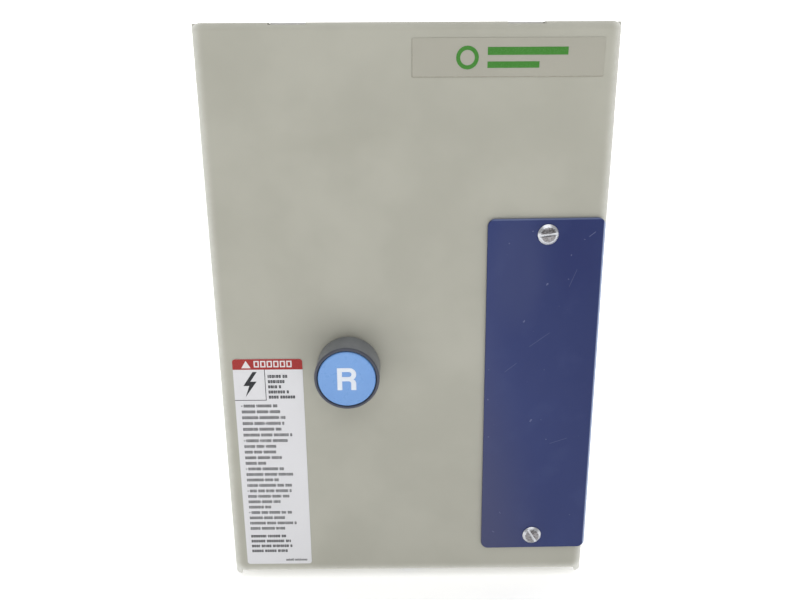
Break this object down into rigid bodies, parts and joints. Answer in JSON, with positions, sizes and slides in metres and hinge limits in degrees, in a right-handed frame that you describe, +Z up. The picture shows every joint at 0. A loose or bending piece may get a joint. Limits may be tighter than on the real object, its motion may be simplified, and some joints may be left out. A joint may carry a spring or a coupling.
{
  "type": "enclosed magnetic motor starter",
  "caption": "Wall-mounted enclosed magnetic motor starter with swing-up steel cover, blue closing plate, reset button, contactor and thermal overload relay.",
  "frame": {"origin": "centre of the rear face, midway between the four wall holes", "axes": "+X to the right seen from the front, +Y to the back (towards the wall), +Z up"},
  "size_m": [0.1818, 0.167, 0.2745],
  "materials": {
    "grey_paint": "light grey powder coat, slightly orange-peeled satin",
    "blue_paint": "dark blue satin enamel with fine scratches",
    "zinc_steel": "bright zinc plate",
    "green_screw": "green-coloured plated screw",
    "copper_alloy": "bare copper alloy",
    "brass_strip": "bare brass strip",
    "black_moulding": "black phenolic moulding",
    "brown_moulding": "brown phenolic moulding",
    "steel_laminations": "stacked silicon-steel laminations",
    "ivory_moulding": "ivory nylon moulding",
    "coil_tape": "varnished tape over enamelled wire",
    "spring_steel": "plain spring wire",
    "heater_alloy": "resistance alloy strip",
    "red_insulation": "wire insulation",
    "yellow_insulation": "wire insulation",
    "blue_insulation": "wire insulation",
    "red_plunger": "moulded reset plunger",
    "name_film": "grey-beige adhesive film",
    "white_film": "white laminated adhesive label",
    "dark_bezel": "dark grey moulded bezel",
    "black_rubber": "gasket rubber",
    "blue_button": "light blue moulded cap",
    "white_legend": "white moulded inlay"
  },
  "bodies": {
    "base": {"enclosure_box": "grey_paint", "mounting_plate": "zinc_steel", "panel_screws": "zinc_steel", "ground_lug": "copper_alloy", "ground_screw": "green_screw", "starter_screws": "zinc_steel", "contactor_base": "black_moulding", "magnet_core": "steel_laminations", "shading_rings": "copper_alloy", "coil_bobbin": "ivory_moulding", "coil_winding": "coil_tape", "coil_terminals": "brass_strip", "line_contacts": "copper_alloy", "load_contacts": "copper_alloy", "arc_cover": "brown_moulding", "arc_cover_screws": "zinc_steel", "return_springs": "spring_steel", "terminal_screws": "zinc_steel", "wire_clamps": "zinc_steel", "control_screws": "zinc_steel", "connecting_straps": "copper_alloy", "overload_base": "black_moulding", "overload_housing": "black_moulding", "thermal_units": "heater_alloy", "thermal_unit_screws": "zinc_steel", "bimetal_strips": "brass_strip", "trip_bar": "brown_moulding", "trip_switch": "black_moulding", "trip_terminals": "brass_strip", "overload_terminals": "copper_alloy", "overload_reset_spring": "spring_steel", "auxiliary_block": "black_moulding", "auxiliary_contacts": "brass_strip", "auxiliary_block_screws": "zinc_steel", "coil_wire": "red_insulation", "auxiliary_wire": "yellow_insulation", "holding_wire": "blue_insulation"},
    "moving_contacts": {"armature": "steel_laminations", "armature_pin": "zinc_steel", "contact_carrier": "brown_moulding", "movable_contacts": "copper_alloy", "contact_springs": "spring_steel", "auxiliary_bridge": "copper_alloy"},
    "overload_plunger": {"reset_plunger": "red_plunger"},
    "cover": {"front_cover": "grey_paint", "cover_screw": "zinc_steel", "cover_screw_nut": "zinc_steel", "closing_plate": "blue_paint", "plate_screws": "zinc_steel", "plate_nuts": "zinc_steel", "name_label": "name_film", "hazard_label": "white_film", "button_bezel": "dark_bezel", "button_gasket": "black_rubber", "button_nut": "dark_bezel", "button_spring": "spring_steel"},
    "reset_button": {"button_cap": "blue_button", "button_legend": "white_legend", "reset_rod": "zinc_steel"}
  },
  "joints": [
    {"name": "cover_swing", "type": "hinge", "parent": "base", "child": "cover", "pos_m": [0, -0.1465, 0.1335], "axis": [-1, 0, 0], "range_deg": [0, 70]},
    {"name": "reset_button_press", "type": "slide", "parent": "cover", "child": "reset_button", "axis": [0, 1, 0], "range_m": [0, 0.005], "stiffness_N_per_m": 400, "springref_m": -0.004, "deforming": ["button_spring"]},
    {"name": "overload_reset", "type": "slide", "parent": "base", "child": "overload_plunger", "axis": [0, 1, 0], "range_m": [0, 0.005], "stiffness_N_per_m": 300, "springref_m": -0.004, "deforming": ["overload_reset_spring"]},
    {"name": "contactor_pull_in", "type": "slide", "parent": "base", "child": "moving_contacts", "axis": [0, 1, 0], "range_m": [0, 0.005], "stiffness_N_per_m": 900, "springref_m": -0.008, "deforming": ["return_springs"]}
  ],
  "couplings": [
    {"joint": "overload_reset", "follows": "reset_button_press", "ratio": 1}
  ]
}
